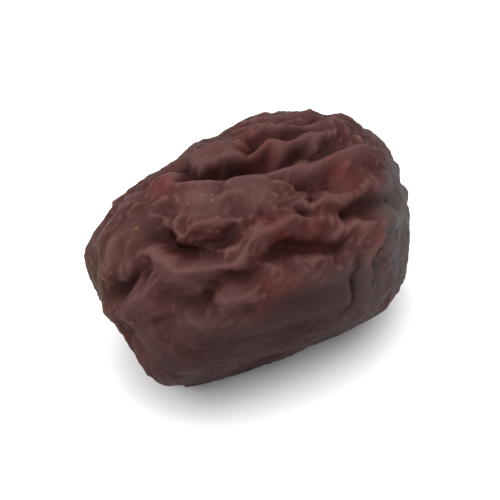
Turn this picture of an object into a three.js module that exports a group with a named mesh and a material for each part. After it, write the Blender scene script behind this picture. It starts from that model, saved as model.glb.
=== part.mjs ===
// One dried jujube lying on its side, in millimetres. +Z is up, and +X runs along the fruit to its
// stem end. The origin is on the surface that it lies on, under the middle of its outline.

import * as THREE from 'three'
import { mergeVertices } from 'three/addons/utils/BufferGeometryUtils.js'

// The fruit before it shrank: a superellipsoid, a little wider at the stem end
const HALF_LENGTH = 12
const HALF_WIDTH = 8.5
const HALF_HEIGHT = 7.5
const FULLNESS = 2.5 // 2 is an ellipsoid, and more is fuller at the shoulders
const TAPER = 0.05 // how much wider the stem end is than the middle

// Flats pressed in by its neighbours while it dried. Around is where a flat faces round the fruit, in
// degrees from the top towards the near side, and lean is how far it turns from there towards the
// stem end. The distance is from the middle, and taut is how tight the skin is on it, from 0 to 1.
const FLATS = [
  { around: 180, lean: 0, distance: 7, taut: 0 }, // underside
  { around: 95, lean: -5, distance: 7.75, taut: 0.8 }, // near flank
  { around: 130, lean: -10, distance: 6.75, taut: 0.7 }, // near flank, low
  { around: 80, lean: 40, distance: 9.75, taut: 0.8 }, // near shoulder at the stem end
  { around: 25, lean: 0, distance: 8, taut: 0 }, // upper side, near
  { around: -55, lean: -5, distance: 7.75, taut: 0 }, // far upper flank
  { around: -120, lean: 20, distance: 8.5, taut: 0 }, // far flank, low at the stem end
  { around: -150, lean: -50, distance: 8.75, taut: 0 }, // apex end, low on the far side
  { around: -90, lean: -45, distance: 10.75, taut: 0 }, // apex end, far side
  { around: 45, lean: -65, distance: 11.25, taut: 0 }, // apex end, near and high
]
const FLAT_SHARPNESS = 16
const TAUT_RANGE = [0.89, 0.97] // nearness to a flat, from where the skin is loose to where it is taut

// The spot that it rests on
const REST_DEPTH = 6.95 // from the middle down to the surface
const REST_HALF_LENGTH = 3.6
const REST_HALF_WIDTH = 2.6
const REST_PRESS = 0.3 // how far the skin there would bulge below the surface

// Fields of waves on the skin. Lean is how far a crest may turn off the fruit's length, in degrees.
const WRINKLES = { wavelength: 2.9, reach: 1.6, count: 360, lean: 40, seed: 11, settled: true }
const CRUMPLE = { wavelength: 2.2, reach: 1.1, count: 640, lean: 55, seed: 57, settled: false }
const SWELL = { wavelength: 8, reach: 4, count: 70, lean: 90, seed: 5, settled: false }
const DENTS = { wavelength: 5.5, reach: 2.6, count: 130, lean: 90, seed: 91, settled: false }
const WAVE_LIMIT = 3 // reaches beyond which a train of waves counts for nothing
const STATION_JITTER = 0.9
const TURN_JITTER = 0.6

// Wrinkles: depth where the swell is low, and what the rest of the skin has more
const WRINKLE_DEPTH = 0.26
const WRINKLE_DEPTH_MORE = 0.44
const DEEP_RANGE = [-0.3, 0.4] // values of the swell
const SHARP_RANGE = [-0.25, 0.35] // values of the dents, from rounded crests to sharp ones
const ROUNDED_LEVEL = 0.66
const SHARP_LEVEL = 0.65
const WHOLE_STRENGTH = 0.35 // of the waves' mean, where the wrinkles have their full depth

// Network of low crests, swell and dents
const CRUMPLE_DEPTH = 0.18
const CRUMPLE_LEAST = 0.4
const CRUMPLE_RANGE = [-0.3, 0.3]
const NETWORK_LEVEL = 0.5
const NETWORK_STEEPNESS = 2.4
const SWELL_DEPTH = 0.45
const DENT_DEPTH = 0.5
const DENT_LEAST = 0.4

// How much smoother than elsewhere the stem end and the underside are, and where
const STEM_END_SMOOTHNESS = 0.6
const STEM_END_RANGE = [8.8, 10.6]
const UNDERSIDE_SMOOTHNESS = 0.4
const UNDERSIDE_RANGE = [4.5, 6.6]

// How far the fields bend the wrinkles and the folds aside, and how much a fold calms the wrinkles
const WANDER = [0.9, 1.1, 1.1]
const FOLD_WANDER = 0.55
const FOLD_CALM = 0.55
const FOLD_CALM_WIDTHS = 2

// Separate folds. A path's points are a station along the length from the middle, and an angle in
// degrees round the fruit, from its top towards the near side. A height below 0 is a furrow.
const FOLDS = [
  // Along the top: the long furrow, the one beside it, and the lump on the far side of it
  {
    height: -1.3, width: 0.65, lip: 0.3,
    path: [[-2.5, -28], [-3, -12], [-1.5, -3], [1, 5], [4, 12], [7, 12]],
  },
  { height: -1, width: 0.6, lip: 0.2, path: [[0.5, -4], [2, -9], [4, -3], [7, 3]] },
  { height: 0.45, width: 1, lip: 0, path: [[-1.5, -24], [0, -18], [1, -12]] },

  // Upper side by the apex: two lumps round the broad hollow, and the sharp furrow below it
  { height: -0.5, width: 0.6, lip: 0.2, path: [[-5.8, -28], [-4.8, -34], [-4, -30]] },
  { height: 0.5, width: 0.75, lip: 0, path: [[-5.5, -10], [-4.5, 2], [-3.5, 10], [-2, 16]] },
  {
    height: -1, width: 0.9, lip: 0.1,
    path: [[-8, -2], [-7.3, 16], [-6.3, 26], [-4.8, 27], [-3.8, 22]],
  },
  { height: -0.8, width: 0.5, lip: 0.3, path: [[-8.4, 2], [-8.2, 14], [-7.2, 30], [-6, 36]] },
  { height: 0.4, width: 0.5, lip: 0.1, path: [[-9.2, 4], [-8.8, 16], [-8.2, 32], [-6.6, 39]] },
  { height: 0.4, width: 0.7, lip: 0, path: [[-9.6, 19], [-9.1, 33], [-8.3, 40]] },

  // Upper side by the stem end
  { height: 0.3, width: 0.5, lip: 0, path: [[0.5, 11], [2.5, 17], [5, 22]] },
  { height: -0.6, width: 0.8, lip: 0.2, path: [[0.8, 24], [2.5, 28], [5, 32]] },
  { height: 0.35, width: 0.5, lip: 0, path: [[0, 25], [1.5, 34], [4, 39]] },
  { height: -0.7, width: 0.6, lip: 0.2, path: [[2.2, 44], [4, 48], [6, 50], [8.5, 53]] },
  { height: 0.35, width: 0.5, lip: 0.1, path: [[2, 50], [4, 54], [8, 58]] },

  // Middle: two short furrows, a lump, and the deep furrow under it
  { height: -0.35, width: 0.5, lip: 0.2, path: [[-0.3, 31], [1.2, 39]] },
  { height: -0.35, width: 0.5, lip: 0.2, path: [[-2.8, 27], [-1.3, 29]] },
  { height: 0.4, width: 0.6, lip: 0.2, path: [[-3.6, 31], [-2.4, 34], [-1.2, 38]] },
  {
    height: -1.1, width: 0.8, lip: 0.2,
    path: [[-4.4, 46], [-2.2, 46], [-0.8, 49], [0.6, 55], [2, 61]],
  },
  { height: -0.35, width: 0.6, lip: 0, path: [[-3, 53], [-1.5, 59]] },

  // Near side by the apex
  { height: -0.9, width: 0.6, lip: 0.2, path: [[-11.7, -40], [-11.4, -5], [-10.8, 8], [-9.8, 10]] },
  { height: -1, width: 0.75, lip: 0.2, path: [[-10.5, 46], [-9.5, 50], [-8.5, 51], [-8, 47]] },
  { height: -0.9, width: 0.6, lip: 0.2, path: [[-8.2, 45], [-7, 43], [-6, 48], [-4.8, 52]] },
  { height: 0.3, width: 0.4, lip: 0.2, path: [[-8, 56], [-6.6, 58], [-5.4, 61]] },
  { height: -0.25, width: 0.35, lip: 0, path: [[-7.6, 61], [-6.4, 64]] },

  // Near side: the edge where the loose skin stops, and faint lines on the taut skin below it
  { height: 0.35, width: 0.6, lip: 0, path: [[-5, 64], [-2, 66], [1, 68]] },
  {
    height: 0.35, width: 0.8, lip: 0,
    path: [[-11.2, 10], [-11.2, 45], [-10, 62], [-8, 69], [-5, 76], [2, 92]],
  },
  { height: 0.4, width: 0.4, lip: 0.2, path: [[3, 110], [3.2, 88], [3, 72], [5, 61], [8.5, 64]] },
  { height: -0.3, width: 0.35, lip: 0.2, path: [[2, 76], [2, 94], [1, 98]] },
  { height: 0.15, width: 0.35, lip: 0, path: [[-11.6, 20], [-11.4, 80], [-11.2, 125]] },
  { height: -0.2, width: 0.6, lip: 0.2, path: [[-11, 84], [-8, 85], [-3.5, 94], [1, 94]] },

  // Broad lumps and a hollow on the shoulders at the stem end
  { height: 0.4, width: 1.6, lip: 0, path: [[10, 5], [11, 30]] },
  { height: 0.2, width: 1.6, lip: 0, path: [[4.5, -35], [6.5, -40]] },
  { height: -0.35, width: 1.5, lip: 0, path: [[8.5, -30], [10, -20]] },
]
const FOLD_STEP = 0.35
const FOLD_BOX_WIDTHS = 4.2
const FOLD_END = 0.05 // share of the fade that is past each end of a fold
const FOLD_FADE = 0.6
const LIP_WIDTHS = 2 // from the middle of a fold to its lip
const LIP_SPREAD = 0.95

// The pit that the stem left, with the stem's scar in it and the rim puckered round it
const PIT = { y: 0.4, z: -0.2, depth: 1.8, radius: 1.6, scar: 0.35, scarRadius: 0.55 }
const RIM = { height: 0.45, radius: 2.5, width: 0.9 }
const PUCKERS = { count: 9, height: 0.2, radius: 2.9, width: 1.3, unevenness: 1.7 }

// The dimple at the apex, with a dry point in it
const DIMPLE = { y: -0.5, z: 0.3, depth: 0.6, radius: 0.9, point: 0.3, pointRadius: 0.25 }
const END_RANGE = [4, 8] // from the middle, where the pit and the dimple begin to count

// Facets of the solid: each edge of an icosahedron is split into one more piece than this
const DETAIL = 22

const GOLDEN_ANGLE = Math.PI * (3 - Math.sqrt(5))
const NEARLY_NOTHING = 1e-9
const MERGE_DISTANCE = 1e-5
const LENGTHWISE_AXIS = new THREE.Vector3(1, 0, 0)
const RADII = new THREE.Vector3(HALF_LENGTH, HALF_WIDTH, HALF_HEIGHT)
for (const flat of FLATS) flat.direction = facing(flat)

// Repeatable random numbers from 0 to 1
function seeded(seed) {
  let state = seed
  return () => {
    state = (state * 1664525 + 1013904223) % 4294967296
    return state / 4294967296
  }
}

function ease([from, to], value) {
  return THREE.MathUtils.smoothstep(value, from, to)
}

// A round bump of height 1 and this radius
function bump(distance, radius) {
  return Math.exp(-((distance / radius) ** 2))
}

// Outward direction of a flat
function facing({ around, lean }) {
  const turn = THREE.MathUtils.degToRad(around)
  const tilt = THREE.MathUtils.degToRad(lean)
  const girthwise = Math.cos(tilt)
  return new THREE.Vector3(Math.sin(tilt), -girthwise * Math.sin(turn), girthwise * Math.cos(turn))
}

// From the middle of the fruit out to its plain body along a direction
function bodyRadius(direction) {
  const girth = 1 + TAPER * direction.x
  const along = Math.abs(direction.x / HALF_LENGTH)
  const across = Math.hypot(direction.y / HALF_WIDTH, direction.z / HALF_HEIGHT) / girth
  const inverse = (along ** FULLNESS + across ** FULLNESS) ** (1 / FULLNESS)
  let total = inverse ** FLAT_SHARPNESS
  for (const flat of FLATS) {
    total += (Math.max(0, direction.dot(flat.direction)) / flat.distance) ** FLAT_SHARPNESS
  }
  return total ** (-1 / FLAT_SHARPNESS)
}

function bodyPoint(direction) {
  return direction.clone().multiplyScalar(bodyRadius(direction))
}

// Point of the plain body at a station along it and an angle round it
function onBody([along, around]) {
  const station = along / HALF_LENGTH
  const ring = (1 - Math.abs(station) ** FULLNESS) ** (1 / FULLNESS) * (1 + TAPER * station)
  const turn = THREE.MathUtils.degToRad(around)
  const y = -HALF_WIDTH * ring * Math.sin(turn)
  const z = HALF_HEIGHT * ring * Math.cos(turn)
  return bodyPoint(new THREE.Vector3(along, y, z).normalize())
}

// Short trains of waves scattered evenly over the body, each with its own direction and phase
class Waves {
  constructor({ wavelength, reach, count, lean, seed, settled }) {
    const random = seeded(seed)
    this.reach = reach
    this.trains = []
    for (let i = 0; i < count; i++) {
      const x = 1 - (2 * i + 1 + STATION_JITTER * (random() - 0.5)) / count
      const turn = i * GOLDEN_ANGLE + TURN_JITTER * (random() - 0.5)
      const ring = Math.sqrt(Math.max(0, 1 - x * x))
      const angle = THREE.MathUtils.degToRad(lean) * (2 * random() - 1)
      const phase = 2 * Math.PI * random()
      const direction = new THREE.Vector3(x, ring * Math.cos(turn), ring * Math.sin(turn))
      const centre = bodyPoint(direction.multiply(RADII).normalize())
      const normal = centre.clone().divide(RADII).divide(RADII).normalize()
      const girthwise = normal.clone().cross(LENGTHWISE_AXIS).normalize()
      const lengthwise = girthwise.clone().cross(normal)
      const wave = girthwise.multiplyScalar(Math.cos(angle)).addScaledVector(lengthwise, Math.sin(angle))
      this.trains.push({ centre, wave: wave.multiplyScalar((2 * Math.PI) / wavelength), phase })
    }
    if (settled) this.settle()
  }

  // Turns each train's phase to agree with its neighbours', so that crests run on from one to the next
  settle() {
    const phases = this.trains.map(({ centre }) => {
      const { cosine, sine } = this.at(centre)
      return Math.atan2(sine, cosine)
    })
    this.trains.forEach((train, i) => {
      train.phase = phases[i]
    })
  }

  // The waves' mean at a point, from -1 to 1, with the same a quarter of a wave on
  at(point) {
    let cosine = 0
    let sine = 0
    let weights = NEARLY_NOTHING
    for (const { centre, wave, phase } of this.trains) {
      const squared = point.distanceToSquared(centre)
      if (squared > (WAVE_LIMIT * this.reach) ** 2) continue
      const weight = Math.exp(-squared / (2 * this.reach ** 2))
      const turn = point.dot(wave) - centre.dot(wave) + phase
      cosine += weight * Math.cos(turn)
      sine += weight * Math.sin(turn)
      weights += weight
    }
    return { cosine: cosine / weights, sine: sine / weights }
  }
}

// A furrow or a ridge along a path on the body, shallower towards its ends, with a lip on each side
class Fold {
  constructor({ path, height, width, lip }) {
    const curve = new THREE.CatmullRomCurve3(path.map(onBody), false, 'catmullrom')
    const steps = Math.ceil(curve.getLength() / FOLD_STEP)
    this.line = curve.getPoints(steps).map((point) => bodyPoint(point.normalize()))
    this.height = height
    this.width = width
    this.lip = lip
    this.box = new THREE.Box3().setFromPoints(this.line).expandByScalar(FOLD_BOX_WIDTHS * width)
  }

  // The fold's height at a point, and how much of the skin there is the fold's, from 0 to 1
  at(point) {
    if (!this.box.containsPoint(point)) return { height: 0, share: 0 }
    const segment = new THREE.Line3()
    const foot = new THREE.Vector3()
    let nearest = Infinity
    let along = 0
    for (let i = 0; i + 1 < this.line.length; i++) {
      segment.set(this.line[i], this.line[i + 1])
      const place = segment.closestPointToPointParameter(point, true)
      const distance = segment.at(place, foot).distanceTo(point)
      if (distance < nearest) {
        nearest = distance
        along = (i + place) / (this.line.length - 1)
      }
    }
    const fade = Math.sin(Math.PI * THREE.MathUtils.lerp(FOLD_END, 1 - FOLD_END, along)) ** FOLD_FADE
    const across = nearest / this.width
    const profile = bump(across, 1) - this.lip * bump(across - LIP_WIDTHS, LIP_SPREAD)
    return { height: this.height * fade * profile, share: fade * bump(across, FOLD_CALM_WIDTHS) }
  }
}

const wrinkles = new Waves(WRINKLES)
const crumple = new Waves(CRUMPLE)
const swell = new Waves(SWELL)
const dents = new Waves(DENTS)
const folds = FOLDS.map((fold) => new Fold(fold))

// How much of the wrinkles there is, from 0 to 1: the taut flats, the stem end and the underside
// are the smoothest
function roughness(point) {
  const tautness = FLATS.map(({ direction, distance, taut }) => {
    return taut * ease(TAUT_RANGE, point.dot(direction) / distance)
  })
  const stemEnd = STEM_END_SMOOTHNESS * ease(STEM_END_RANGE, point.x)
  const underside = UNDERSIDE_SMOOTHNESS * ease(UNDERSIDE_RANGE, -point.z)
  return (1 - Math.max(...tautness)) * (1 - stemEnd) * (1 - underside)
}

// Height of the wrinkles for a depth of 1: rounded crests between narrow furrows where the dents
// are low, and narrow crests between rounded furrows where they are high
function wrinkleProfile(point, dent) {
  const wave = wrinkles.at(point)
  const strength = Math.hypot(wave.cosine, wave.sine)
  const cosine = wave.cosine / (strength + NEARLY_NOTHING)
  const rounded = Math.sqrt((1 + cosine) / 2) - ROUNDED_LEVEL
  const sharp = SHARP_LEVEL - Math.sqrt((1 - cosine) / 2)
  const profile = THREE.MathUtils.lerp(rounded, sharp, ease(SHARP_RANGE, dent))
  return Math.min(1, strength / WHOLE_STRENGTH) * profile
}

// Height of the wrinkled skin over the plain body
function skinHeight(point) {
  const wide = swell.at(point)
  const dent = dents.at(point)
  const bend = new THREE.Vector3(dent.cosine * WANDER[0], dent.sine * WANDER[1], wide.cosine * WANDER[2])
  const bent = bend.add(point)
  const ripple = crumple.at(bent)
  const bow = new THREE.Vector3(ripple.cosine, ripple.sine, dent.cosine)
  const bowed = bow.multiplyScalar(FOLD_WANDER).add(point)
  const near = folds.map((fold) => fold.at(bowed))
  const free = 1 - FOLD_CALM * Math.max(...near.map(({ share }) => share))
  const rough = roughness(point)
  const depth = WRINKLE_DEPTH + WRINKLE_DEPTH_MORE * ease(DEEP_RANGE, wide.sine)
  const network = NETWORK_LEVEL - Math.min(1, NETWORK_STEEPNESS * Math.abs(ripple.cosine))
  const crumpled = THREE.MathUtils.lerp(CRUMPLE_LEAST, 1, ease(CRUMPLE_RANGE, dent.sine))
  let height = rough * free * depth * wrinkleProfile(bent, dent.cosine)
  height += rough * free * CRUMPLE_DEPTH * network * crumpled
  height += free * DENT_DEPTH * dent.cosine * THREE.MathUtils.lerp(DENT_LEAST, 1, rough)
  height += SWELL_DEPTH * wide.cosine
  for (const fold of near) height += fold.height
  return height
}

// Height of the pit, its rim and its puckers at the stem end
function stemPit(point) {
  const off = Math.hypot(point.y - PIT.y, point.z - PIT.z)
  const turn = Math.atan2(point.z - PIT.z, point.y - PIT.y)
  const pleats = Math.cos(PUCKERS.count * turn + PUCKERS.unevenness * Math.sin(2 * turn))
  let height = PIT.scar * bump(off, PIT.scarRadius) - PIT.depth * bump(off, PIT.radius)
  height += RIM.height * bump(off - RIM.radius, RIM.width)
  height += PUCKERS.height * pleats * bump(off - PUCKERS.radius, PUCKERS.width)
  return ease(END_RANGE, point.x) * height
}

// Height of the dimple and its point at the apex
function apexDimple(point) {
  const off = Math.hypot(point.y - DIMPLE.y, point.z - DIMPLE.z)
  const height = DIMPLE.point * bump(off, DIMPLE.pointRadius) - DIMPLE.depth * bump(off, DIMPLE.radius)
  return ease(END_RANGE, -point.x) * height
}

// Point of the finished skin along a direction from the middle
function skinPoint(direction) {
  const plain = bodyPoint(direction)
  const height = skinHeight(plain) + stemPit(plain) + apexDimple(plain)
  const offRest = Math.hypot(plain.x / REST_HALF_LENGTH, plain.y / REST_HALF_WIDTH)
  const resting = plain.z < 0 ? Math.exp(-(offRest ** 4)) : 0
  const radius = plain.length() + THREE.MathUtils.lerp(height, REST_PRESS, resting)
  const point = direction.clone().multiplyScalar(radius)
  point.z = Math.max(point.z, -REST_DEPTH)
  return point
}

function driedJujube() {
  const sphere = new THREE.IcosahedronGeometry(1, DETAIL)
  sphere.deleteAttribute('normal')
  sphere.deleteAttribute('uv')
  const geometry = mergeVertices(sphere, MERGE_DISTANCE)
  const position = geometry.getAttribute('position')
  const direction = new THREE.Vector3()
  for (let i = 0; i < position.count; i++) {
    direction.fromBufferAttribute(position, i).multiply(RADII).normalize()
    const point = skinPoint(direction)
    position.setXYZ(i, point.x, point.y, point.z)
  }
  geometry.computeBoundingBox()
  const { min, max } = geometry.boundingBox
  geometry.translate(-(min.x + max.x) / 2, -(min.y + max.y) / 2, -min.z)
  geometry.computeVertexNormals()
  return geometry
}

const skin = new THREE.MeshStandardMaterial({ color: 0x5a3c38, roughness: 0.5, metalness: 0 })
const jujube = new THREE.Mesh(driedJujube(), skin)
jujube.name = 'dried_jujube'

const part = new THREE.Group()
part.add(jujube)

export default part
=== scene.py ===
"""One dried jujube lying on its side, on a plain pale floor.

The fruit has the form of the CAD solid: the same body, flats, wrinkles, folds, stem pit and apex dimple, worked
out again on a finer mesh, with the crinkles that are too fine for the solid. Lengths are in millimetres until the
mesh is made, and in metres in the Blender scene.
"""

import logging
import math
from dataclasses import dataclass, field
from enum import Enum
from itertools import product

import bpy
import numpy as np
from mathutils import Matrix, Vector


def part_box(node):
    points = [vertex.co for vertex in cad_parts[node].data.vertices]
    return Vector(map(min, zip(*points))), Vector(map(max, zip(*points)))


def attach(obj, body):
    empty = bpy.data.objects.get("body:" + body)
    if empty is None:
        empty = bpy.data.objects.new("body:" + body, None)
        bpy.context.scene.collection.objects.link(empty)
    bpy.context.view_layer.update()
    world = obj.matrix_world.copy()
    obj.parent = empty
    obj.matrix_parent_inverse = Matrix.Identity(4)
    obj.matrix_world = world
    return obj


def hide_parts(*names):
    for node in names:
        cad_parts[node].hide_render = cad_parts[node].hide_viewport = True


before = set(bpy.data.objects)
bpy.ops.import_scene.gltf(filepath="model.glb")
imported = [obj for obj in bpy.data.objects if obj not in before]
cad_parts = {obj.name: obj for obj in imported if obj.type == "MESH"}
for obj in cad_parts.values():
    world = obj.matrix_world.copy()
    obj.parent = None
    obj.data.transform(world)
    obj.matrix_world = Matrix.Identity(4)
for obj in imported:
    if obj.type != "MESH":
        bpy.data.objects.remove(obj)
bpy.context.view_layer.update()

LOG = logging.getLogger("dried_jujube")

NODE = "dried_jujube"
BODY = "root"
MM = 0.001
GOLDEN_ANGLE = math.pi * (3.0 - math.sqrt(5.0))

Colour = tuple[float, float, float]
Point = tuple[float, float, float]
Span = tuple[float, float]

TINY = 1e-9
WHITE = (1.0, 1.0, 1.0, 1.0)

# Distances from the middle of the length over which the features of an end come in
END_SPAN: Span = (4.0, 8.0)


class FoldKind(Enum):
    """Which way a fold goes from the skin."""

    FURROW = -1.0
    RIDGE = 1.0


class Mask(Enum):
    """Names of the values that the mesh carries at each vertex for its finish."""

    # Painted shade: darker in the furrows, hollows and stem pit
    HOLLOW_SHADE = "hollow"
    # Painted highlight: paler on the crests and lumps
    CREST_HIGHLIGHT = "crest_highlight"
    # Taut skin, with patches of painted shade on the lower near flank
    TAUT = "taut"
    # Along the taut skin: its dark painted shade toward the apex gives way to its pale grey toward the stem end
    PALE = "pale"
    SCAR = "scar"
    APEX = "apex"
    RED = "red"


def unit(vectors: np.ndarray) -> np.ndarray:
    """Scale vectors to a length of 1.

    Args:
        vectors: One vector, or one in each row.

    Returns:
        The unit vectors, in the same shape.
    """
    return vectors / np.linalg.norm(vectors, axis=-1, keepdims=True)


def ease(low: float, high: float, values: np.ndarray) -> np.ndarray:
    """Rise smoothly from 0 at low to 1 at high.

    Args:
        low: Where the result starts to leave 0.
        high: Where it reaches 1.
        values: The values to look up.

    Returns:
        The eased values, from 0 to 1.
    """
    share = np.clip((values - low) / (high - low), 0.0, 1.0)
    return share * share * (3.0 - 2.0 * share)


def at_least(least: float, shares: np.ndarray) -> np.ndarray:
    """Squeeze shares from 0 to 1 into the range from the least one to 1.

    Args:
        least: What a share of 0 becomes.
        shares: The shares.

    Returns:
        The squeezed shares.
    """
    return least + (1.0 - least) * shares


def bump(distance: np.ndarray, radius: float) -> np.ndarray:
    """Give the height of a round bump of height 1.

    Args:
        distance: Distances from its middle.
        radius: Its radius.

    Returns:
        The heights, from 1 in the middle to 0 far away.
    """
    return np.exp(-((distance / radius) ** 2))


class SeededRandom:
    """Repeatable random numbers from 0 to 1."""

    MULTIPLIER = 1664525
    INCREMENT = 1013904223
    MODULUS = 2**32

    def __init__(self, seed: int) -> None:
        """Start the sequence at a seed."""
        self.state = seed

    def __call__(self) -> float:
        """Return the next number."""
        self.state = (self.state * self.MULTIPLIER + self.INCREMENT) % self.MODULUS
        return self.state / self.MODULUS


@dataclass(frozen=True)
class Flat:
    """A flat that a neighbour pressed into the fruit while it dried, and how taut the skin is on it.

    It faces a turn in degrees from the top towards the near side, and leans in degrees towards the stem end.
    """

    around: float
    lean: float
    distance: float
    taut: float = 0.0

    @property
    def normal(self) -> np.ndarray:
        """The direction that the flat faces."""
        turn, lean = math.radians(self.around), math.radians(self.lean)
        return np.array([math.sin(lean), -math.cos(lean) * math.sin(turn), math.cos(lean) * math.cos(turn)])

    def nearness(self, points: np.ndarray) -> np.ndarray:
        """Return how near points of the plain body lie to the flat, from 0 to 1 on it."""
        return points @ self.normal / self.distance


@dataclass(frozen=True)
class Body:
    """The fruit before it shrank: a superellipsoid with flats, round its middle."""

    half_length: float = 12.0
    half_width: float = 8.5
    half_height: float = 7.5
    fullness: float = 2.5
    taper: float = 0.05
    flat_sharpness: float = 16.0
    flats: tuple[Flat, ...] = (
        # Underside, near flank, the same low down, near shoulder at the stem end, and upper side
        Flat(180, 0, 7.0),
        Flat(95, -5, 7.75, 0.8),
        Flat(130, -10, 6.75, 0.7),
        Flat(80, 40, 9.75, 0.8),
        Flat(25, 0, 8.0),
        # Far upper flank, and far flank low at the stem end
        Flat(-55, -5, 7.75),
        Flat(-120, 20, 8.5),
        # Apex end: low on the far side, far side, and near and high
        Flat(-150, -50, 8.75),
        Flat(-90, -45, 10.75),
        Flat(45, -65, 11.25),
    )

    @property
    def radii(self) -> np.ndarray:
        """Half of the length, width and height."""
        return np.array([self.half_length, self.half_width, self.half_height])

    def radius(self, directions: np.ndarray) -> np.ndarray:
        """Measure from the middle out to the plain body.

        Args:
            directions: Unit vectors, one in each row.

        Returns:
            The distance along each of them.
        """
        girth = 1.0 + self.taper * directions[:, 0]
        across = np.hypot(directions[:, 1] / self.half_width, directions[:, 2] / self.half_height) / girth
        along = np.abs(directions[:, 0] / self.half_length)
        inverse = (along**self.fullness + across**self.fullness) ** (1.0 / self.fullness)
        total = inverse**self.flat_sharpness
        for flat in self.flats:
            facing = np.maximum(0.0, directions @ flat.normal)
            total += (facing / flat.distance) ** self.flat_sharpness
        return total ** (-1.0 / self.flat_sharpness)

    def points(self, directions: np.ndarray) -> np.ndarray:
        """Return the plain body's points along unit directions."""
        return directions * self.radius(directions)[:, None]

    def on_skin(self, along: float, around: float) -> np.ndarray:
        """Find a point of the plain body by its station and angle.

        Args:
            along: Station along the length, from the middle towards the stem end.
            around: Angle in degrees from the top towards the near side.

        Returns:
            The point.
        """
        ring = (1.0 - abs(along / self.half_length) ** self.fullness) ** (1.0 / self.fullness)
        ring *= 1.0 + self.taper * along / self.half_length
        turn = math.radians(around)
        sideways, upwards = -self.half_width * ring * math.sin(turn), self.half_height * ring * math.cos(turn)
        return self.points(unit(np.array([[along, sideways, upwards]])))[0]


@dataclass
class Waves:
    """Short trains of waves scattered evenly over the body, each with its own direction and phase."""

    body: Body
    wavelength: float
    reach: float
    count: int
    lean: float
    seed: int
    settled: bool = False
    station_jitter: float = 0.9
    turn_jitter: float = 0.6
    cutoff: float = 3.0
    centres: np.ndarray = field(init=False)
    waves: np.ndarray = field(init=False)
    phases: np.ndarray = field(init=False)

    def __post_init__(self) -> None:
        """Scatter the trains, and settle their phases where asked."""
        random = SeededRandom(self.seed)
        sphere = np.zeros((self.count, 3))
        angles = np.zeros(self.count)
        self.phases = np.zeros(self.count)
        for i in range(self.count):
            x = 1.0 - (2 * i + 1 + self.station_jitter * (random() - 0.5)) / self.count
            turn = i * GOLDEN_ANGLE + self.turn_jitter * (random() - 0.5)
            ring = math.sqrt(max(0.0, 1.0 - x * x))
            sphere[i] = (x, ring * math.cos(turn), ring * math.sin(turn))
            angles[i] = math.radians(self.lean) * (2.0 * random() - 1.0)
            self.phases[i] = 2.0 * math.pi * random()
        radii = self.body.radii
        self.centres = self.body.points(unit(sphere * radii))
        normals = unit(self.centres / radii**2)
        girthwise = unit(np.cross(normals, [1.0, 0.0, 0.0]))
        lengthwise = np.cross(girthwise, normals)
        directions = girthwise * np.cos(angles)[:, None] + lengthwise * np.sin(angles)[:, None]
        self.waves = directions * (2.0 * math.pi / self.wavelength)
        if self.settled:
            cosine, sine = self.at(self.centres)
            self.phases = np.arctan2(sine, cosine)

    def at(self, points: np.ndarray) -> tuple[np.ndarray, np.ndarray]:
        """Average the waves at some points.

        Args:
            points: Points near the body, one in each row.

        Returns:
            The mean wave from -1 to 1, and the same a quarter of a wave on.
        """
        order = np.argsort(points[:, 0])
        line = points[order]
        cosine = np.zeros(len(points))
        sine = np.zeros(len(points))
        weights = np.full(len(points), TINY)
        limit = self.cutoff * self.reach
        starts = np.searchsorted(line[:, 0], self.centres[:, 0] - limit)
        ends = np.searchsorted(line[:, 0], self.centres[:, 0] + limit)
        for centre, wave, phase, start, end in zip(self.centres, self.waves, self.phases, starts, ends):
            away = line[start:end] - centre
            squared = np.einsum("ij,ij->i", away, away)
            near = np.nonzero(squared < limit**2)[0]
            weight = np.exp(-squared[near] / (2.0 * self.reach**2))
            turn = away[near] @ wave + phase
            cosine[start + near] += weight * np.cos(turn)
            sine[start + near] += weight * np.sin(turn)
            weights[start + near] += weight
        back = np.empty_like(order)
        back[order] = np.arange(len(order))
        return (cosine / weights)[back], (sine / weights)[back]


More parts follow.
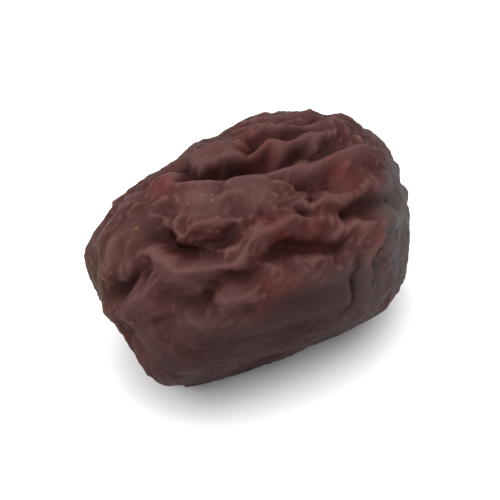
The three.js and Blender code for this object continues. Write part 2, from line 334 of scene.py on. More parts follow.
@dataclass(frozen=True)
class Fold:
    """A furrow or a ridge along a path on the body, shallower towards its ends, with a lip on each side.

    The extent, the lip's place and width, and the width of the calm skin round it are in widths of the fold.
    """

    kind: FoldKind
    height: float
    width: float
    lip: float
    path: tuple[tuple[float, float], ...]
    shade: float = 0.0
    step: float = 0.35
    extent: float = 4.2
    lip_place: float = 2.0
    lip_width: float = 0.95
    calm_width: float = 2.0
    end_margin: float = 0.05
    end_power: float = 0.6

    def line(self, body: Body) -> np.ndarray:
        """Lay a smooth line along the path on the body.

        Args:
            body: The body that it runs on.

        Returns:
            The line's points, one in each row.
        """
        stops = np.array([body.on_skin(along, around) for along, around in self.path])
        stops = np.vstack([2 * stops[0] - stops[1], stops, 2 * stops[-1] - stops[-2]])
        length = np.linalg.norm(np.diff(stops[1:-1], axis=0), axis=1).sum()
        steps = math.ceil(length / self.step)
        places = np.linspace(0.0, len(stops) - 3, steps + 1)
        index = np.minimum(places.astype(int), len(stops) - 4)
        t = (places - index)[:, None]
        a, b, c, d = (stops[index + offset] for offset in range(4))
        curve = 0.5 * (2 * b + (c - a) * t + (2 * a - 5 * b + 4 * c - d) * t**2 + (3 * b - a - 3 * c + d) * t**3)
        return body.points(unit(curve))

    def at(self, points: np.ndarray, body: Body) -> tuple[np.ndarray, np.ndarray]:
        """Measure the fold's height at some points.

        Args:
            points: Points of the plain body, one in each row.
            body: The body.

        Returns:
            The height at each point, and how much of the skin there is the fold's, from 0 to 1.
        """
        line = self.line(body)
        reach = self.extent * self.width
        inside = (points > line.min(axis=0) - reach) & (points < line.max(axis=0) + reach)
        near = np.nonzero(inside.all(axis=1))[0]
        nearest = np.full(len(near), np.inf)
        along = np.zeros(len(near))
        for i, (start, end) in enumerate(zip(line[:-1], line[1:])):
            run = end - start
            share = np.clip((points[near] - start) @ run / (run @ run), 0.0, 1.0)
            distance = np.linalg.norm(points[near] - start - share[:, None] * run, axis=1)
            closer = distance < nearest
            nearest[closer] = distance[closer]
            along[closer] = (i + share[closer]) / (len(line) - 1)
        inset = self.end_margin + (1.0 - 2.0 * self.end_margin) * along
        fade = np.sin(math.pi * inset) ** self.end_power
        across = nearest / self.width
        heights = np.zeros(len(points))
        shares = np.zeros(len(points))
        shape = bump(across, 1.0) - self.lip * bump(across - self.lip_place, self.lip_width)
        heights[near] = self.kind.value * self.height * fade * shape
        shares[near] = fade * bump(across, self.calm_width)
        return heights, shares


@dataclass(frozen=True)
class StemPit:
    """The pit that the stem left, with the stem's scar in it and the rim puckered round it."""

    y: float = 0.4
    z: float = -0.2
    depth: float = 1.8
    radius: float = 1.6
    rim: float = 0.45
    rim_radius: float = 2.5
    rim_width: float = 0.9
    scar: float = 0.35
    scar_radius: float = 0.55
    pucker: float = 0.2
    pucker_radius: float = 2.9
    pucker_width: float = 1.3
    puckers: int = 9
    unevenness: float = 1.7

    def distance(self, points: np.ndarray) -> np.ndarray:
        """Return the distances of points from the pit's axis."""
        return np.hypot(points[:, 1] - self.y, points[:, 2] - self.z)

    def at(self, points: np.ndarray) -> np.ndarray:
        """Return the height of the pit, its rim and its scar at points of the plain body."""
        away = self.distance(points)
        turn = np.arctan2(points[:, 2] - self.z, points[:, 1] - self.y)
        rim = self.rim * bump(away - self.rim_radius, self.rim_width)
        pit = self.scar * bump(away, self.scar_radius) - self.depth * bump(away, self.radius)
        pleats = np.cos(self.puckers * turn + self.unevenness * np.sin(2.0 * turn))
        pleats *= self.pucker * bump(away - self.pucker_radius, self.pucker_width)
        return ease(*END_SPAN, points[:, 0]) * (rim + pit + pleats)


@dataclass(frozen=True)
class ApexDimple:
    """The dimple at the other end, with a dry point in it."""

    y: float = -0.5
    z: float = 0.3
    depth: float = 0.6
    radius: float = 0.9
    point: float = 0.3
    point_radius: float = 0.25

    def distance(self, points: np.ndarray) -> np.ndarray:
        """Return the distances of points from the dimple's axis."""
        return np.hypot(points[:, 1] - self.y, points[:, 2] - self.z)

    def at(self, points: np.ndarray) -> np.ndarray:
        """Return the height of the dimple and its point at points of the plain body."""
        away = self.distance(points)
        dimple = self.point * bump(away, self.point_radius) - self.depth * bump(away, self.radius)
        return ease(*END_SPAN, -points[:, 0]) * dimple


@dataclass(frozen=True)
class RestSpot:
    """The flat spot that the fruit lies on."""

    depth: float = 6.95
    half_length: float = 3.6
    half_width: float = 2.6
    press: float = 0.3
    edge_power: int = 4

    def share(self, points: np.ndarray) -> np.ndarray:
        """Return how far, from 0 to 1, each point of the plain body belongs to the spot."""
        away = np.hypot(points[:, 0] / self.half_length, points[:, 1] / self.half_width)
        return np.where(points[:, 2] < 0.0, np.exp(-(away**self.edge_power)), 0.0)


@dataclass
class JujubeSkin:
    """The shape of the wrinkled skin over the plain body.

    A depth is in millimetres. A calm is how much of the wrinkles is lost, a least is the least share of something
    that is left, and a span is the two values between which something comes in.
    """

    body: Body = Body()
    pit: StemPit = StemPit()
    apex: ApexDimple = ApexDimple()
    rest: RestSpot = RestSpot()
    wrinkle_depth: float = 0.26
    wrinkle_depth_more: float = 0.44
    crumple_depth: float = 0.18
    swell_depth: float = 0.45
    dent_depth: float = 0.50
    crinkle_depth: float = 0.09
    crease_depth: float = 0.06
    fold_calm: float = 0.55
    fold_wander: float = 0.55
    wander: tuple[float, float, float] = (0.9, 1.1, 1.1)
    stem_calm: float = 0.6
    stem_span: Span = (8.8, 10.6)
    underside_calm: float = 0.4
    underside_span: Span = (4.5, 6.6)
    taut_span: Span = (0.89, 0.97)
    rounded_middle: float = 0.66
    sharp_middle: float = 0.65
    sharp_span: Span = (-0.25, 0.35)
    deep_span: Span = (-0.3, 0.4)
    full_strength: float = 0.35
    crumple_middle: float = 0.5
    crumple_slope: float = 2.4
    crumple_least: float = 0.4
    dent_least: float = 0.4
    crinkle_middle: float = 0.45
    crinkle_slope: float = 2.2
    crinkle_least: float = 0.25
    crinkle_patch_least: float = 0.3
    patch_span: Span = (-0.3, 0.3)
    shade_span: Span = (0.35, 0.75)
    folds: tuple[Fold, ...] = (
        # Along the top: the long furrow, the one beside it, and the lump on the far side of it
        Fold(
            FoldKind.FURROW, 1.3, 0.65, 0.3, ((-2.5, -28), (-3, -12), (-1.5, -3), (1, 5), (4, 12), (7, 12)), shade=0.9
        ),
        Fold(FoldKind.FURROW, 1.0, 0.6, 0.2, ((0.5, -4), (2, -9), (4, -3), (7, 3)), shade=0.7),
        Fold(FoldKind.RIDGE, 0.45, 1.0, 0, ((-1.5, -24), (0, -18), (1, -12))),
        # Upper side by the apex: two lumps round the broad hollow, and the sharp furrow below it
        Fold(FoldKind.FURROW, 0.5, 0.6, 0.2, ((-5.8, -28), (-4.8, -34), (-4, -30))),
        Fold(FoldKind.RIDGE, 0.5, 0.75, 0, ((-5.5, -10), (-4.5, 2), (-3.5, 10), (-2, 16))),
        Fold(FoldKind.FURROW, 1.0, 0.9, 0.1, ((-8, -2), (-7.3, 16), (-6.3, 26), (-4.8, 27), (-3.8, 22))),
        Fold(FoldKind.FURROW, 0.8, 0.5, 0.3, ((-8.4, 2), (-8.2, 14), (-7.2, 30), (-6, 36))),
        Fold(FoldKind.RIDGE, 0.4, 0.5, 0.1, ((-9.2, 4), (-8.8, 16), (-8.2, 32), (-6.6, 39))),
        Fold(FoldKind.RIDGE, 0.4, 0.7, 0, ((-9.6, 19), (-9.1, 33), (-8.3, 40))),
        # Upper side by the stem end
        Fold(FoldKind.RIDGE, 0.3, 0.5, 0, ((0.5, 11), (2.5, 17), (5, 22))),
        Fold(FoldKind.FURROW, 0.6, 0.8, 0.2, ((0.8, 24), (2.5, 28), (5, 32))),
        Fold(FoldKind.RIDGE, 0.35, 0.5, 0, ((0, 25), (1.5, 34), (4, 39))),
        Fold(FoldKind.FURROW, 0.7, 0.6, 0.2, ((2.2, 44), (4, 48), (6, 50), (8.5, 53))),
        Fold(FoldKind.RIDGE, 0.35, 0.5, 0.1, ((2, 50), (4, 54), (8, 58))),
        # Middle: two short furrows, the red lump, and the deep furrow under it
        Fold(FoldKind.FURROW, 0.35, 0.5, 0.2, ((-0.3, 31), (1.2, 39))),
        Fold(FoldKind.FURROW, 0.35, 0.5, 0.2, ((-2.8, 27), (-1.3, 29))),
        Fold(FoldKind.RIDGE, 0.4, 0.6, 0.2, ((-3.6, 31), (-2.4, 34), (-1.2, 38))),
        Fold(FoldKind.FURROW, 1.1, 0.8, 0.2, ((-4.4, 46), (-2.2, 46), (-0.8, 49), (0.6, 55), (2, 61))),
        Fold(FoldKind.FURROW, 0.35, 0.6, 0, ((-3, 53), (-1.5, 59))),
        # Near side by the apex
        Fold(FoldKind.FURROW, 0.9, 0.6, 0.2, ((-11.7, -40), (-11.4, -5), (-10.8, 8), (-9.8, 10))),
        Fold(FoldKind.FURROW, 1.0, 0.75, 0.2, ((-10.5, 46), (-9.5, 50), (-8.5, 51), (-8, 47))),
        Fold(FoldKind.FURROW, 0.9, 0.6, 0.2, ((-8.2, 45), (-7, 43), (-6, 48), (-4.8, 52))),
        Fold(FoldKind.RIDGE, 0.3, 0.4, 0.2, ((-8, 56), (-6.6, 58), (-5.4, 61))),
        Fold(FoldKind.FURROW, 0.25, 0.35, 0, ((-7.6, 61), (-6.4, 64))),
        # Near side: the edge where the loose skin stops, and faint lines on the taut skin below it
        Fold(FoldKind.RIDGE, 0.35, 0.6, 0, ((-5, 64), (-2, 66), (1, 68))),
        Fold(FoldKind.RIDGE, 0.35, 0.8, 0, ((-11.2, 10), (-11.2, 45), (-10, 62), (-8, 69), (-5, 76), (2, 92))),
        Fold(FoldKind.RIDGE, 0.4, 0.4, 0.2, ((3, 110), (3.2, 88), (3, 72), (5, 61), (8.5, 64))),
        Fold(FoldKind.FURROW, 0.3, 0.35, 0.2, ((2, 76), (2, 94), (1, 98))),
        Fold(FoldKind.RIDGE, 0.15, 0.35, 0, ((-11.6, 20), (-11.4, 80), (-11.2, 125))),
        Fold(FoldKind.FURROW, 0.2, 0.6, 0.2, ((-11, 84), (-8, 85), (-3.5, 94), (1, 94))),
        # Broad lumps and a hollow on the shoulders at the stem end
        Fold(FoldKind.RIDGE, 0.4, 1.6, 0, ((10, 5), (11, 30))),
        Fold(FoldKind.RIDGE, 0.2, 1.6, 0, ((4.5, -35), (6.5, -40))),
        Fold(FoldKind.FURROW, 0.35, 1.5, 0, ((8.5, -30), (10, -20))),
    )

    def __post_init__(self) -> None:
        """Make the fields of waves."""
        self.wrinkles = Waves(
            self.body, wavelength=2.9, reach=1.6, count=360, lean=40.0, seed=11, settled=True
        )
        self.crumple = Waves(self.body, wavelength=2.2, reach=1.1, count=640, lean=55.0, seed=57)
        self.swell = Waves(self.body, wavelength=8.0, reach=4.0, count=70, lean=90.0, seed=5)
        self.dents = Waves(self.body, wavelength=5.5, reach=2.6, count=130, lean=90.0, seed=91)
        self.crinkles = Waves(self.body, wavelength=1.5, reach=0.6, count=2000, lean=60.0, seed=23)
        self.creases = Waves(self.body, wavelength=0.6, reach=0.4, count=4200, lean=65.0, seed=31)

    def roughness(self, points: np.ndarray) -> np.ndarray:
        """Find how much of the wrinkles there is.

        Args:
            points: Points of the plain body.

        Returns:
            Shares from 0 to 1. The skin is smoothest at the stem end, on the underside and on the taut flats.
        """
        stem_end = 1.0 - self.stem_calm * ease(*self.stem_span, points[:, 0])
        underside = 1.0 - self.underside_calm * ease(*self.underside_span, -points[:, 2])
        return (1.0 - self.tautness(points)) * stem_end * underside

    def tautness(self, points: np.ndarray) -> np.ndarray:
        """Find how taut the skin is on the pressed flats.

        Args:
            points: Points of the plain body.

        Returns:
            Shares from 0 to 1.
        """
        return np.max(
            [flat.taut * ease(*self.taut_span, flat.nearness(points)) for flat in self.body.flats], axis=0
        )

    def height(self, points: np.ndarray) -> tuple[np.ndarray, np.ndarray, np.ndarray]:
        """Work out the height of the wrinkled skin.

        Args:
            points: Points of the plain body.

        Returns:
            The height of the skin over each point, the part of it that isn't the broad swell, and how much the
            deep folds shade it.
        """
        wide, wide_later = self.swell.at(points)
        dent, dent_later = self.dents.at(points)
        bent = points + np.stack([dent, dent_later, wide], axis=1) * self.wander
        ripple, ripple_later = self.crumple.at(bent)
        bowed = points + self.fold_wander * np.stack([ripple, ripple_later, dent], axis=1)
        folds, shares = zip(*(fold.at(bowed, self.body) for fold in self.folds))
        rough = self.roughness(points)
        free = 1.0 - self.fold_calm * np.max(shares, axis=0)
        loose = rough * free
        cosine, sine = self.wrinkles.at(bent)
        strength = np.hypot(cosine, sine)
        cosine = cosine / (strength + TINY)
        rounded = np.sqrt((1.0 + cosine) / 2.0) - self.rounded_middle
        sharp = self.sharp_middle - np.sqrt((1.0 - cosine) / 2.0)
        blend = ease(*self.sharp_span, dent)
        depth = self.wrinkle_depth + self.wrinkle_depth_more * ease(*self.deep_span, wide_later)
        depth *= np.minimum(1.0, strength / self.full_strength)
        height = loose * depth * (rounded + (sharp - rounded) * blend)
        network = self.crumple_middle - np.minimum(1.0, self.crumple_slope * np.abs(ripple))
        crumpled = at_least(self.crumple_least, ease(*self.patch_span, dent_later))
        height += loose * self.crumple_depth * network * crumpled
        height += self.dent_depth * dent * at_least(self.dent_least, rough) * free
        small = np.minimum(1.0, self.crinkle_slope * np.abs(self.crinkles.at(bent)[0]))
        crinkled = at_least(self.crinkle_least, loose)
        crinkled *= at_least(self.crinkle_patch_least, ease(*self.patch_span, wide))
        height += self.crinkle_depth * (self.crinkle_middle - small) * crinkled
        height += self.crease_depth * self.creases.at(bent)[0]
        height += np.sum(folds, axis=0)
        shade = np.max(
            [fold.shade * ease(*self.shade_span, share) for fold, share in zip(self.folds, shares)], axis=0
        )
        return height + self.swell_depth * wide, height, shade

    def points(self, directions: np.ndarray) -> tuple[np.ndarray, np.ndarray, np.ndarray, np.ndarray]:
        """Shape the finished skin.

        Args:
            directions: Unit vectors from the middle, one in each row.

        Returns:
            The skin's points, the plain body's points under them, and the height of the relief and the deep
            folds' shade there.
        """
        plain = self.body.points(directions)
        height, relief, shade = self.height(plain)
        height += self.pit.at(plain) + self.apex.at(plain)
        resting = self.rest.share(plain)
        radius = np.linalg.norm(plain, axis=1) + height + (self.rest.press - height) * resting
        skin = directions * radius[:, None]
        skin[:, 2] = np.maximum(skin[:, 2], -self.rest.depth)
        return skin, plain, relief, shade


class FacetedSphere:
    """A unit sphere of even triangles: an icosahedron with its edges split."""

    # Two corners are joined where they are between these two distances apart
    EDGE_SPAN: Span = (0.1, 1.2)
    DECIMALS = 6

    def __init__(self, splits: int) -> None:
        """Split each edge of the icosahedron into this many pieces."""
        golden = (1.0 + math.sqrt(5.0)) / 2.0
        cyclic = [(0.0, s, t * golden) for s in (-1.0, 1.0) for t in (-1.0, 1.0)]
        corners = unit(np.array([c[k:] + c[:k] for k in range(3) for c in cyclic]))
        apart = np.linalg.norm(corners[:, None] - corners[None], axis=2)
        joined = (apart > self.EDGE_SPAN[0]) & (apart < self.EDGE_SPAN[1])
        points: list[np.ndarray] = []
        faces: list[tuple[int, int, int]] = []
        for a, b, c in product(range(len(corners)), repeat=3):
            if a < min(b, c) and joined[a, b] and joined[b, c] and joined[c, a]:
                if np.linalg.det(corners[[a, b, c]]) > 0.0:
                    self._split(corners[[a, b, c]], splits, points, faces)
        rounded = np.round(points, self.DECIMALS)
        _, first, index = np.unique(rounded, axis=0, return_index=True, return_inverse=True)
        self.points = unit(np.array(points)[first])
        self.faces = index.reshape(-1)[np.array(faces)]

    @staticmethod
    def _split(
        corners: np.ndarray, splits: int, points: list[np.ndarray], faces: list[tuple[int, int, int]]
    ) -> None:
        """Add one split face.

        Args:
            corners: The face's three corners.
            splits: Pieces along each edge.
            points: The points so far, which this adds to.
            faces: The triangles so far, which this adds to.
        """
        place = {}
        for i in range(splits + 1):
            for j in range(splits + 1 - i):
                place[i, j] = len(points)
                points.append(corners.T @ np.array([splits - i - j, i, j]) / splits)
        for i in range(splits):
            for j in range(splits - i):
                faces.append((place[i, j], place[i + 1, j], place[i, j + 1]))
                if i + j < splits - 1:
                    faces.append((place[i + 1, j], place[i + 1, j + 1], place[i, j + 1]))


class Graph:
    """A short way to add and join the nodes of one node tree."""

    # Places of a colour Mix node's sockets
    MIX_SHARE, MIX_FIRST, MIX_SECOND = 0, 6, 7
    MIX_RESULT = 2

    def __init__(self, tree: bpy.types.NodeTree) -> None:
        """Work on this tree."""
        self.tree = tree

    def add(self, kind: str, inputs: dict[str | int, object] | None = None, **settings: object) -> bpy.types.Node:
        """Add a node.

        Args:
            kind: The node's type name.
            inputs: Values or sockets for its inputs, by name or place.
            **settings: Other properties of the node.

        Returns:
            The node.
        """
        node = self.tree.nodes.new(kind)
        for name, value in settings.items():
            setattr(node, name, value)
        for name, value in (inputs or {}).items():
            if isinstance(value, bpy.types.NodeSocket):
                self.tree.links.new(value, node.inputs[name])
            else:
                node.inputs[name].default_value = value
        return node

    def math(self, operation: str, first: object, second: object) -> bpy.types.NodeSocket:
        """Join two numbers with a Math operation, and return the result."""
        return self.add("ShaderNodeMath", {0: first, 1: second}, operation=operation).outputs[0]

    def mix(self, share: object, first: object, second: object) -> bpy.types.NodeSocket:
        """Mix two colours, each a socket or a Colour, and return the result."""
        first, second = ((*colour, 1.0) if isinstance(colour, tuple) else colour for colour in (first, second))
        inputs = {self.MIX_SHARE: share, self.MIX_FIRST: first, self.MIX_SECOND: second}
        return self.add("ShaderNodeMix", inputs, data_type="RGBA").outputs[self.MIX_RESULT]

    def mask(self, mask: Mask) -> bpy.types.NodeSocket:
        """Read one of the mesh's masks."""
        return self.add("ShaderNodeAttribute", attribute_name=mask.value).outputs["Fac"]


def mottle_group() -> bpy.types.NodeTree:
    """Build the node group for soft uneven patches, which the skin and the floor both use.

    Returns:
        The group. Its Patches output goes from 0 between the patches to 1 in them.
    """
    group = bpy.data.node_groups.new("mottle", "ShaderNodeTree")
    vector = group.interface.new_socket("Vector", in_out="INPUT", socket_type="NodeSocketVector")
    vector.hide_value = True
    for name, value in (("Scale", 400.0), ("Detail", 3.0), ("Low", 0.4), ("High", 0.6)):
        socket = group.interface.new_socket(name, in_out="INPUT", socket_type="NodeSocketFloat")
        socket.default_value = value
    group.interface.new_socket("Patches", in_out="OUTPUT", socket_type="NodeSocketFloat")
    graph = Graph(group)
    given = graph.add("NodeGroupInput").outputs
    noise = graph.add(
        "ShaderNodeTexNoise", {"Vector": given["Vector"], "Scale": given["Scale"], "Detail": given["Detail"]}
    )
    patches = graph.add(
        "ShaderNodeMapRange",
        {"Value": noise.outputs["Fac"], "From Min": given["Low"], "From Max": given["High"]},
        interpolation_type="SMOOTHSTEP",
    )
    result = graph.add("NodeGroupOutput")
    group.links.new(patches.outputs["Result"], result.inputs["Patches"])
    return group


@dataclass(frozen=True)
class Mottle:
    """One use of the mottle group: the size of its patches, and how much of the surface they take."""

    patch_mm: float
    low: float
    high: float
    detail: float = 3.0

    def patches(self, graph: Graph, group: bpy.types.NodeTree, vector: bpy.types.NodeSocket) -> bpy.types.NodeSocket:
        """Place the group in a material.

        Args:
            graph: The material's graph.
            group: The mottle group.
            vector: Where the pattern lies, in metres.

        Returns:
            The patches, from 0 to 1.
        """
        values = {"Scale": 1.0 / (self.patch_mm * MM), "Detail": self.detail, "Low": self.low, "High": self.high}
        node = graph.add("ShaderNodeGroup", node_tree=group)
        for name, value in values.items():
            node.inputs[name].default_value = value
        graph.tree.links.new(vector, node.inputs["Vector"])
        return node.outputs["Patches"]


@dataclass(frozen=True)
class Tint:
    """A patch of another tint round a station along the fruit and an angle from its top towards the near side."""

    along: float
    around: float
    radius: float

    def share(self, points: np.ndarray, body: Body) -> np.ndarray:
        """Return how much of the tint points of the plain body have, up to 1 in the middle of the patch."""
        return bump(np.linalg.norm(points - body.on_skin(self.along, self.around), axis=1), self.radius)


@dataclass(frozen=True)
class SkinFinish:
    """The dried skin: dark satin red-brown, painted paler on the crests as painted highlight, with a thin grey bloom
    that is partly painted sheen.

    A share is how strongly one tint covers the others where it lies.
    """

    mid: Colour = (0.034, 0.0104, 0.0098)
    # Painted highlight on the crests and lumps
    crest_highlight: Colour = (0.070, 0.0300, 0.0285)
    # Painted shade in the furrows, hollows and stem pit
    furrow: Colour = (0.0085, 0.0016, 0.0013)
    red: Colour = (0.080, 0.0150, 0.0140)
    # Grey bloom colour, which also stands in for painted sheen on the open skin
    bloom_and_sheen: Colour = (0.052, 0.029, 0.0275)
    # Painted shade on the taut lower near flank toward the apex
    taut_shade: Colour = (0.014, 0.0078, 0.0075)
    taut_pale: Colour = (0.044, 0.038, 0.0365)
    apex_end: Colour = (0.052, 0.031, 0.016)
    scar: Colour = (0.120, 0.082, 0.050)
    fleck: Colour = (0.200, 0.105, 0.042)
    red_patches: Mottle = Mottle(4.0, 0.50, 0.68)
    bloom_patches: Mottle = Mottle(2.6, 0.42, 0.66, 5.0)
    scar_patches: Mottle = Mottle(0.35, 0.35, 0.65)
    fleck_patches: Mottle = Mottle(3.4, 0.55, 0.62)
    red_patch_share: float = 0.15
    red_share: float = 0.55
    bloom_share: float = 0.35
    apex_share: float = 0.45
    taut_share: float = 0.8
    scar_patch_share: float = 0.5
    fleck_share: float = 0.2
    fleck_radius: float = 0.16
    fleck_mm: float = 0.9
    grain_mm: float = 0.16
    grain_detail: float = 3.0
    grain_depth_mm: float = 0.05
    grain_strength: float = 0.5
    roughness: Span = (0.55, 0.72)
    scar_roughness: float = 0.3
    specular: float = 0.05

    def colour(self, graph: Graph, group: bpy.types.NodeTree, place: bpy.types.NodeSocket) -> bpy.types.NodeSocket:
        """Mix the skin's colour.

        Args:
            graph: The material's graph.
            group: The mottle group.
            place: The point's coordinates.

        Returns:
            The colour.
        """
        # Painted shade in the furrows, hollows and stem pit
        hollow = graph.mask(Mask.HOLLOW_SHADE)
        open_skin = graph.math("SUBTRACT", 1.0, hollow)
        loose = graph.math("SUBTRACT", 1.0, graph.mask(Mask.TAUT))
        red = graph.math("MULTIPLY", self.red_patches.patches(graph, group, place), self.red_patch_share)
        red = graph.math("MAXIMUM", red, graph.math("MULTIPLY", graph.mask(Mask.RED), self.red_share))
        red = graph.math("MULTIPLY", red, loose)
        # Grey bloom colour, partly painted sheen, only outside the painted shade
        bloom_and_sheen = graph.math("MULTIPLY", self.bloom_patches.patches(graph, group, place), self.bloom_share)
        bloom_and_sheen = graph.math("MULTIPLY", bloom_and_sheen, open_skin)
        spots = graph.add("ShaderNodeTexVoronoi", {"Vector": place, "Scale": 1.0 / (self.fleck_mm * MM)})
        fleck = graph.math("LESS_THAN", spots.outputs["Distance"], self.fleck_radius)
        fleck = graph.math("MULTIPLY", fleck, self.fleck_patches.patches(graph, group, place))
        corky = graph.math("MULTIPLY", self.scar_patches.patches(graph, group, place), self.scar_patch_share)
        # Crests painted paler as painted highlight
        colour = graph.mix(graph.mask(Mask.CREST_HIGHLIGHT), self.mid, self.crest_highlight)
        colour = graph.mix(red, colour, self.red)
        colour = graph.mix(bloom_and_sheen, colour, self.bloom_and_sheen)
        colour = graph.mix(graph.math("MULTIPLY", graph.mask(Mask.APEX), self.apex_share), colour, self.apex_end)
        # Taut skin: painted shade on the lower near flank toward the apex, its own pale grey toward the stem end
        taut = graph.mix(graph.mask(Mask.PALE), self.taut_shade, self.taut_pale)
        colour = graph.mix(graph.math("MULTIPLY", graph.mask(Mask.TAUT), self.taut_share), colour, taut)
        colour = graph.mix(graph.math("MULTIPLY", fleck, self.fleck_share), colour, self.fleck)
        # Painted shade over the other tints; only the stem scar goes over it
        colour = graph.mix(hollow, colour, self.furrow)
        scar = graph.mix(corky, self.scar, self.mid)
        return graph.mix(graph.mask(Mask.SCAR), colour, scar)

    def material(self, group: bpy.types.NodeTree) -> bpy.types.Material:
        """Build the material.

        Args:
            group: The mottle group.

        Returns:
            The material.
        """
        material = bpy.data.materials.new("dried_skin")
        material.use_nodes = True
        graph = Graph(material.node_tree)
        shader = material.node_tree.nodes["Principled BSDF"]
        place = graph.add("ShaderNodeTexCoord").outputs["Object"]
        material.node_tree.links.new(self.colour(graph, group, place), shader.inputs["Base Color"])
        dull = self.bloom_patches.patches(graph, group, place)
        smoothest, roughest = self.roughness
        rough = graph.add(
            "ShaderNodeMapRange",
            {"Value": dull, "To Min": smoothest, "To Max": roughest},
            interpolation_type="LINEAR",
        ).outputs["Result"]
        rough = graph.math("ADD", rough, graph.math("MULTIPLY", graph.mask(Mask.SCAR), self.scar_roughness))
        material.node_tree.links.new(rough, shader.inputs["Roughness"])
        grain = graph.add(
            "ShaderNodeTexNoise",
            {"Vector": place, "Scale": 1.0 / (self.grain_mm * MM), "Detail": self.grain_detail},
        )
        bumps = graph.add(
            "ShaderNodeBump",
            {
                "Height": grain.outputs["Fac"],
                "Strength": self.grain_strength,
                "Distance": self.grain_depth_mm * MM,
            },
        )
        material.node_tree.links.new(bumps.outputs["Normal"], shader.inputs["Normal"])
        shader.inputs["Specular IOR Level"].default_value = self.specular
        return material


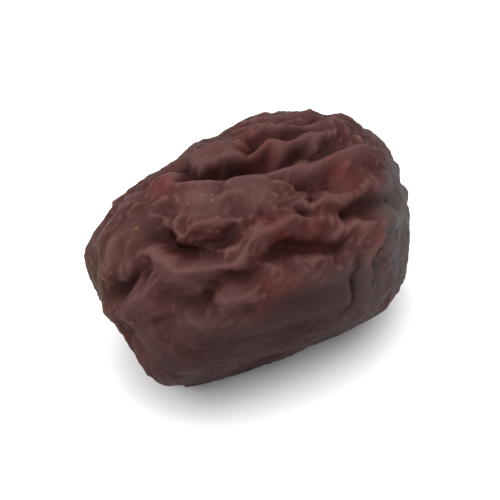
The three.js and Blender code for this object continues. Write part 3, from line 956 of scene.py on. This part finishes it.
@dataclass
class DriedJujube:
    """The fruit: one piece of wrinkled skin that is closed all round.

    The tints lie where the photo shows them. The values after them say where the masks for the finish come in.
    """

    skin: JujubeSkin = field(default_factory=JujubeSkin)
    finish: SkinFinish = SkinFinish()
    red: tuple[Tint, ...] = (
        Tint(-2.2, 38, 1.4),
        Tint(-5.0, -20, 1.1),
        Tint(4.2, 28, 1.4),
        Tint(-3.8, 62, 1.5),
        Tint(0.0, 50, 1.2),
        Tint(2.0, -6, 1.8),
    )
    # Patches of painted highlight on lumps, ridges and the shelf, and painted sheen along the lower near edge
    pale: tuple[Tint, ...] = (
        Tint(-9.0, 37, 1.2),
        Tint(-7.8, 37, 1.2),
        Tint(1.2, 11, 1.2),
        Tint(2.5, 2, 0.8),
        Tint(4.8, 6, 0.8),
        Tint(-4.6, 4, 1.4),
        Tint(-1.6, 19, 1.0),
        Tint(-7.0, 57, 0.9),
        Tint(-11.6, 100, 1.6),
    )
    # Patches of painted shade on the lower near flank, which take the taut skin's dark colour
    flank_shade: tuple[Tint, ...] = (Tint(-8.5, 82, 3.6), Tint(-4.0, 88, 3.2), Tint(-10.5, 100, 3.4))
    brown: Tint = Tint(-11.0, -50, 2.6)
    splits: int = 96
    # Where the painted shade comes in: broad and fine hollows, low relief, the deep folds and the stem pit
    hollow_passes: int = 60
    hollow_depth: float = 0.30
    groove_depth: float = 0.12
    groove_share: float = 0.85
    low_share: float = 0.8
    low_span: Span = (0.15, 0.85)
    pit_share: float = 0.85
    pit_span: Span = (2.3, 1.0)
    # How much the painted highlight patches lighten the painted shade
    pale_lift: float = 0.85
    # Where the painted highlight comes in on the crests and the high relief
    crest_passes: int = 14
    crest_height: float = 0.06
    high_share: float = 0.7
    high_span: Span = (-0.1, 0.6)
    stem_taut_radius: float = 3.5
    stem_taut_fade: float = 1.8
    flank_shade_share: float = 0.8
    # Where along the length the taut skin goes from painted shade to its own pale grey
    pale_span: Span = (-2.0, 5.0)
    scar_span: Span = (1.0, 0.6)

    def build(self, group: bpy.types.NodeTree) -> bpy.types.Object:
        """Build the fruit in the place of its solid.

        Args:
            group: The mottle group.

        Returns:
            The fruit's object.
        """
        sphere = FacetedSphere(self.splits)
        skin, plain, relief, shade = self.skin.points(unit(sphere.points * self.skin.body.radii))
        mesh = bpy.data.meshes.new("jujube_skin")
        mesh.from_pydata(self.in_place(skin).tolist(), [], sphere.faces.tolist())
        mesh.polygons.foreach_set("use_smooth", [True] * len(mesh.polygons))
        mesh.update()
        for mask, values in self.masks(skin, plain, relief, shade, sphere.faces).items():
            attribute = mesh.attributes.new(mask.value, "FLOAT", "POINT")
            attribute.data.foreach_set("value", values.astype(np.float32))
        mesh.materials.append(self.finish.material(group))
        piece = bpy.data.objects.new("jujube_skin", mesh)
        bpy.context.collection.objects.link(piece)
        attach(piece, BODY)
        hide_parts(NODE)
        return piece

    def in_place(self, points: np.ndarray) -> np.ndarray:
        """Set the skin in its solid's box.

        Args:
            points: Points in millimetres from the fruit's middle.

        Returns:
            The points in metres, where the solid is.
        """
        low, high = (np.array(corner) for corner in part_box(NODE))
        share = (points - points.min(axis=0)) / (points.max(axis=0) - points.min(axis=0))
        return low + share * (high - low)

    def masks(
        self, skin: np.ndarray, plain: np.ndarray, relief: np.ndarray, shade: np.ndarray, faces: np.ndarray
    ) -> dict[Mask, np.ndarray]:
        """Work out the values that the finish reads at each vertex.

        Args:
            skin: The skin's points.
            plain: The plain body's points under them.
            relief: The height of the relief at them.
            shade: How much the deep folds shade them.
            faces: The triangles.

        Returns:
            Values from 0 to 1 for each mask.
        """
        edges = np.concatenate([faces[:, [0, 1]], faces[:, [1, 2]], faces[:, [2, 0]]])
        normals = self.normals(skin, faces)
        fine = np.einsum("ij,ij->i", skin - self.relaxed(skin, edges, self.crest_passes), normals)
        broad = np.einsum("ij,ij->i", skin - self.relaxed(skin, edges, self.hollow_passes), normals)
        stem_side = ease(*END_SPAN, plain[:, 0])
        from_pit = self.skin.pit.distance(plain)
        # Patches of painted highlight and painted sheen
        pale = self.tinted(plain, self.pale)
        # Painted shade
        hollow = [
            ease(0.0, self.hollow_depth, -broad),
            self.groove_share * ease(0.0, self.groove_depth, -fine),
            self.low_share * ease(*self.low_span, -relief),
            shade,
            self.pit_share * stem_side * ease(*self.pit_span, from_pit),
        ]
        # Painted highlight
        crest_highlight = [ease(0.0, self.crest_height, fine), self.high_share * ease(*self.high_span, relief), pale]
        # Taut skin, with patches of painted shade on the lower near flank
        taut = [
            self.skin.tautness(plain),
            stem_side * bump(np.maximum(0.0, from_pit - self.stem_taut_radius), self.stem_taut_fade),
            self.flank_shade_share * self.tinted(plain, self.flank_shade),
        ]
        return {
            # The painted highlight patches lighten the painted shade under them
            Mask.HOLLOW_SHADE: np.max(hollow, axis=0) * (1.0 - self.pale_lift * pale),
            Mask.CREST_HIGHLIGHT: np.max(crest_highlight, axis=0),
            Mask.TAUT: np.max(taut, axis=0),
            # The taut skin's colour: painted shade toward the apex, its own pale grey toward the stem end
            Mask.PALE: ease(*self.pale_span, plain[:, 0]),
            Mask.SCAR: stem_side * ease(*self.scar_span, from_pit),
            Mask.APEX: self.brown.share(plain, self.skin.body),
            Mask.RED: self.tinted(plain, self.red),
        }

    def tinted(self, points: np.ndarray, tints: tuple[Tint, ...]) -> np.ndarray:
        """Join patches of one tint.

        Args:
            points: Points of the plain body.
            tints: The patches.

        Returns:
            How much of the tint each point has, from 0 to 1.
        """
        return np.max([tint.share(points, self.skin.body) for tint in tints], axis=0)

    @staticmethod
    def normals(points: np.ndarray, faces: np.ndarray) -> np.ndarray:
        """Find the outward direction at each vertex.

        Args:
            points: The vertices.
            faces: The triangles.

        Returns:
            Unit vectors, one in each row.
        """
        first, second, third = (points[faces[:, corner]] for corner in range(3))
        across = np.cross(second - first, third - first)
        normals = np.zeros_like(points)
        for corner in range(3):
            for axis in range(3):
                normals[:, axis] += np.bincount(faces[:, corner], across[:, axis], len(points))
        return unit(normals)

    @staticmethod
    def relaxed(points: np.ndarray, edges: np.ndarray, passes: int) -> np.ndarray:
        """Smooth a surface by moving each vertex half of the way to the middle of its neighbours.

        Args:
            points: The vertices.
            edges: Pairs of joined vertices, each once in either direction.
            passes: How many times.

        Returns:
            The smoothed vertices.
        """
        count = np.bincount(edges[:, 0], minlength=len(points))[:, None]
        for _ in range(passes):
            total = [np.bincount(edges[:, 0], points[edges[:, 1], axis], len(points)) for axis in range(3)]
            points = 0.5 * points + 0.5 * np.stack(total, axis=1) / count
        return points


@dataclass(frozen=True)
class PhotoCamera:
    """The camera, at the photograph's angle and closer in."""

    azimuth: float = -43.0
    elevation: float = 37.0
    distance: float = 0.40
    view_width: float = 0.032
    target: Point = (0.0, 0.0, 0.0072)
    sensor_mm: float = 36.0
    clip_start: float = 0.01

    def build(self) -> None:
        """Place the camera and make it the scene's."""
        turn, tilt = math.radians(self.azimuth), math.radians(self.elevation)
        back = Vector((math.sin(turn) * math.cos(tilt), -math.cos(turn) * math.cos(tilt), math.sin(tilt)))
        data = bpy.data.cameras.new("photo_camera")
        data.sensor_width = self.sensor_mm
        data.lens = self.sensor_mm * self.distance / self.view_width
        data.clip_start = self.clip_start
        camera = bpy.data.objects.new("photo_camera", data)
        camera.location = Vector(self.target) + back * self.distance
        camera.rotation_euler = back.to_track_quat("Z", "Y").to_euler()
        bpy.context.collection.objects.link(camera)
        bpy.context.scene.camera = camera


@dataclass(frozen=True)
class Softbox:
    """A square soft light that looks at the fruit."""

    name: str
    place: Point
    size: float
    power: float

    def build(self, target: Vector) -> None:
        """Place the light.

        Args:
            target: The point that it looks at.
        """
        data = bpy.data.lights.new(self.name, "AREA")
        data.size = self.size
        data.energy = self.power
        light = bpy.data.objects.new(self.name, data)
        light.location = self.place
        light.rotation_euler = (Vector(self.place) - target).to_track_quat("Z", "Y").to_euler()
        bpy.context.collection.objects.link(light)


@dataclass(frozen=True)
class Studio:
    """A plain pale floor under a soft overhead light."""

    floor_size: float = 2.0
    floor_colour: Colour = (0.76, 0.76, 0.77)
    floor_stain: Colour = (0.74, 0.74, 0.74)
    floor_mottle: Mottle = Mottle(30.0, 0.3, 0.7)
    floor_roughness: float = 0.8
    surround: float = 0.75
    lights: tuple[Softbox, ...] = (Softbox("overhead", place=(-0.13, -0.04, 0.48), size=0.9, power=8.8),)
    light_target: Point = (0.0, 0.0, 0.008)

    def build(self, group: bpy.types.NodeTree) -> None:
        """Build the floor, the surroundings and the lights.

        Args:
            group: The mottle group.
        """
        half = self.floor_size / 2.0
        corners = [(-half, -half, 0.0), (half, -half, 0.0), (half, half, 0.0), (-half, half, 0.0)]
        mesh = bpy.data.meshes.new("floor")
        mesh.from_pydata(corners, [], [(0, 1, 2, 3)])
        mesh.materials.append(self.floor_material(group))
        floor = bpy.data.objects.new("floor", mesh)
        bpy.context.collection.objects.link(floor)
        world = bpy.data.worlds.new("surround")
        world.use_nodes = True
        background = world.node_tree.nodes["Background"].inputs
        background["Color"].default_value = WHITE
        background["Strength"].default_value = self.surround
        scene = bpy.context.scene
        scene.world = world
        scene.view_settings.view_transform = "Standard"
        for light in self.lights:
            light.build(Vector(self.light_target))

    def floor_material(self, group: bpy.types.NodeTree) -> bpy.types.Material:
        """Build the floor's matt white material.

        Args:
            group: The mottle group.

        Returns:
            The material.
        """
        material = bpy.data.materials.new("white_board")
        material.use_nodes = True
        graph = Graph(material.node_tree)
        place = graph.add("ShaderNodeTexCoord").outputs["Object"]
        stain = self.floor_mottle.patches(graph, group, place)
        shader = material.node_tree.nodes["Principled BSDF"]
        colour = graph.mix(stain, self.floor_colour, self.floor_stain)
        material.node_tree.links.new(colour, shader.inputs["Base Color"])
        shader.inputs["Roughness"].default_value = self.floor_roughness
        return material


def main() -> None:
    """Build the camera, the studio and the fruit."""
    logging.basicConfig(level=logging.INFO, format="%(message)s")
    PhotoCamera().build()
    mottle = mottle_group()
    Studio().build(mottle)
    fruit = DriedJujube().build(mottle)
    LOG.info("%s: %d triangles, rides on %s", fruit.name, len(fruit.data.polygons), BODY)


if __name__ == "__main__":
    main()
